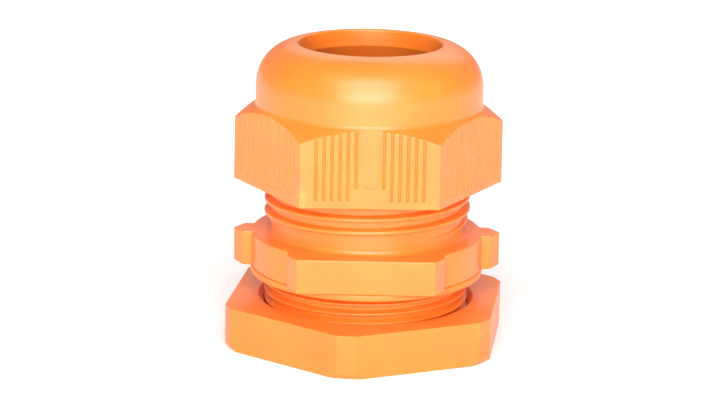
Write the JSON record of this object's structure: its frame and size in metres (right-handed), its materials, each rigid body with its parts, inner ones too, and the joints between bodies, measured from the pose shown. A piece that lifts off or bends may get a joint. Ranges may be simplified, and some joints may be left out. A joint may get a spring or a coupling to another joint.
{
  "type": "cable gland",
  "caption": "Domed plastic cable gland: grooved cap nut over a threaded body with a hexagon, clamping fingers, rubber sleeve, flat sealing ring and lock nut.",
  "frame": {"origin": "on the gland's axis, level with the underside of the lock nut", "axes": "+Z along the axis towards the cap's mouth; -Y is the front, which one flat of the hexagon faces; +X to the right"},
  "size_m": [0.0432, 0.0458, 0.0467],
  "materials": {
    "cap_plastic": "satin orange polyamide",
    "body_plastic": "satin orange polyamide",
    "nut_plastic": "satin orange polyamide",
    "ring_plastic": "satin orange thermoplastic",
    "cage_plastic": "matte orange polyamide",
    "sleeve_rubber": "matte black rubber"
  },
  "bodies": {
    "lock_nut": {"lock_nut": "nut_plastic"},
    "sealing_ring": {"sealing_ring": "ring_plastic"},
    "gland_body": {"gland_body": "body_plastic", "cage_ring": "cage_plastic"},
    "seal_sleeve": {"seal_sleeve": "sleeve_rubber"},
    "cap_nut": {"cap_nut": "cap_plastic"},
    "clamp_finger_01": {"clamp_finger_01": "cage_plastic"},
    "clamp_finger_02": {"clamp_finger_02": "cage_plastic"},
    "clamp_finger_03": {"clamp_finger_03": "cage_plastic"},
    "clamp_finger_04": {"clamp_finger_04": "cage_plastic"},
    "clamp_finger_05": {"clamp_finger_05": "cage_plastic"},
    "clamp_finger_06": {"clamp_finger_06": "cage_plastic"},
    "clamp_finger_07": {"clamp_finger_07": "cage_plastic"},
    "clamp_finger_08": {"clamp_finger_08": "cage_plastic"},
    "clamp_finger_09": {"clamp_finger_09": "cage_plastic"},
    "clamp_finger_10": {"clamp_finger_10": "cage_plastic"},
    "clamp_finger_11": {"clamp_finger_11": "cage_plastic"},
    "clamp_finger_12": {"clamp_finger_12": "cage_plastic"},
    "clamp_finger_13": {"clamp_finger_13": "cage_plastic"},
    "clamp_finger_14": {"clamp_finger_14": "cage_plastic"}
  },
  "joints": [
    {"name": "lock_nut_travel", "type": "slide", "parent": "lock_nut", "child": "sealing_ring", "axis": [0, 0, 1], "range_m": [-0.00375, 0.006]},
    {"name": "lock_nut_turn", "type": "hinge", "parent": "sealing_ring", "child": "gland_body", "pos_m": [0, 0, 0.0112], "axis": [0, 0, 1], "range_deg": [-905, 1445]},
    {"name": "cap_turn", "type": "hinge", "parent": "gland_body", "child": "seal_sleeve", "pos_m": [0, 0, 0.032], "axis": [0, 0, 1], "range_deg": [-725, 365]},
    {"name": "cap_travel", "type": "slide", "parent": "seal_sleeve", "child": "cap_nut", "axis": [0, 0, 1], "range_m": [-0.004, 0.002], "deforming": ["seal_sleeve"]},
    {"name": "clamp_finger_01_bend", "type": "hinge", "parent": "gland_body", "child": "clamp_finger_01", "pos_m": [0.0132, 0, 0.0324], "axis": [0, -1, 0], "range_deg": [-8.1, 16.1]},
    {"name": "clamp_finger_02_bend", "type": "hinge", "parent": "gland_body", "child": "clamp_finger_02", "pos_m": [0.01189, 0.00573, 0.0324], "axis": [0.4339, -0.901, 0], "range_deg": [-8.1, 16.1]},
    {"name": "clamp_finger_03_bend", "type": "hinge", "parent": "gland_body", "child": "clamp_finger_03", "pos_m": [0.00823, 0.01032, 0.0324], "axis": [0.7818, -0.6235, 0], "range_deg": [-8.1, 16.1]},
    {"name": "clamp_finger_04_bend", "type": "hinge", "parent": "gland_body", "child": "clamp_finger_04", "pos_m": [0.00294, 0.01287, 0.0324], "axis": [0.9749, -0.2225, 0], "range_deg": [-8.1, 16.1]},
    {"name": "clamp_finger_05_bend", "type": "hinge", "parent": "gland_body", "child": "clamp_finger_05", "pos_m": [-0.00294, 0.01287, 0.0324], "axis": [0.9749, 0.2225, 0], "range_deg": [-8.1, 16.1]},
    {"name": "clamp_finger_06_bend", "type": "hinge", "parent": "gland_body", "child": "clamp_finger_06", "pos_m": [-0.00823, 0.01032, 0.0324], "axis": [0.7818, 0.6235, 0], "range_deg": [-8.1, 16.1]},
    {"name": "clamp_finger_07_bend", "type": "hinge", "parent": "gland_body", "child": "clamp_finger_07", "pos_m": [-0.01189, 0.00573, 0.0324], "axis": [0.4339, 0.901, 0], "range_deg": [-8.1, 16.1]},
    {"name": "clamp_finger_08_bend", "type": "hinge", "parent": "gland_body", "child": "clamp_finger_08", "pos_m": [-0.0132, 0, 0.0324], "axis": [0, 1, 0], "range_deg": [-8.1, 16.1]},
    {"name": "clamp_finger_09_bend", "type": "hinge", "parent": "gland_body", "child": "clamp_finger_09", "pos_m": [-0.01189, -0.00573, 0.0324], "axis": [-0.4339, 0.901, 0], "range_deg": [-8.1, 16.1]},
    {"name": "clamp_finger_10_bend", "type": "hinge", "parent": "gland_body", "child": "clamp_finger_10", "pos_m": [-0.00823, -0.01032, 0.0324], "axis": [-0.7818, 0.6235, 0], "range_deg": [-8.1, 16.1]},
    {"name": "clamp_finger_11_bend", "type": "hinge", "parent": "gland_body", "child": "clamp_finger_11", "pos_m": [-0.00294, -0.01287, 0.0324], "axis": [-0.9749, 0.2225, 0], "range_deg": [-8.1, 16.1]},
    {"name": "clamp_finger_12_bend", "type": "hinge", "parent": "gland_body", "child": "clamp_finger_12", "pos_m": [0.00294, -0.01287, 0.0324], "axis": [-0.9749, -0.2225, 0], "range_deg": [-8.1, 16.1]},
    {"name": "clamp_finger_13_bend", "type": "hinge", "parent": "gland_body", "child": "clamp_finger_13", "pos_m": [0.00823, -0.01032, 0.0324], "axis": [-0.7818, -0.6235, 0], "range_deg": [-8.1, 16.1]},
    {"name": "clamp_finger_14_bend", "type": "hinge", "parent": "gland_body", "child": "clamp_finger_14", "pos_m": [0.01189, -0.00573, 0.0324], "axis": [-0.4339, -0.901, 0], "range_deg": [-8.1, 16.1]}
  ],
  "couplings": [
    {"joint": "lock_nut_turn", "follows": "lock_nut_travel", "rad_per_m": 4188.8},
    {"joint": "cap_turn", "follows": "cap_travel", "rad_per_m": 3141.6},
    {"joint": "clamp_finger_01_bend", "follows": "cap_travel", "rad_per_m": -69.813},
    {"joint": "clamp_finger_02_bend", "follows": "cap_travel", "rad_per_m": -69.813},
    {"joint": "clamp_finger_03_bend", "follows": "cap_travel", "rad_per_m": -69.813},
    {"joint": "clamp_finger_04_bend", "follows": "cap_travel", "rad_per_m": -69.813},
    {"joint": "clamp_finger_05_bend", "follows": "cap_travel", "rad_per_m": -69.813},
    {"joint": "clamp_finger_06_bend", "follows": "cap_travel", "rad_per_m": -69.813},
    {"joint": "clamp_finger_07_bend", "follows": "cap_travel", "rad_per_m": -69.813},
    {"joint": "clamp_finger_08_bend", "follows": "cap_travel", "rad_per_m": -69.813},
    {"joint": "clamp_finger_09_bend", "follows": "cap_travel", "rad_per_m": -69.813},
    {"joint": "clamp_finger_10_bend", "follows": "cap_travel", "rad_per_m": -69.813},
    {"joint": "clamp_finger_11_bend", "follows": "cap_travel", "rad_per_m": -69.813},
    {"joint": "clamp_finger_12_bend", "follows": "cap_travel", "rad_per_m": -69.813},
    {"joint": "clamp_finger_13_bend", "follows": "cap_travel", "rad_per_m": -69.813},
    {"joint": "clamp_finger_14_bend", "follows": "cap_travel", "rad_per_m": -69.813}
  ]
}
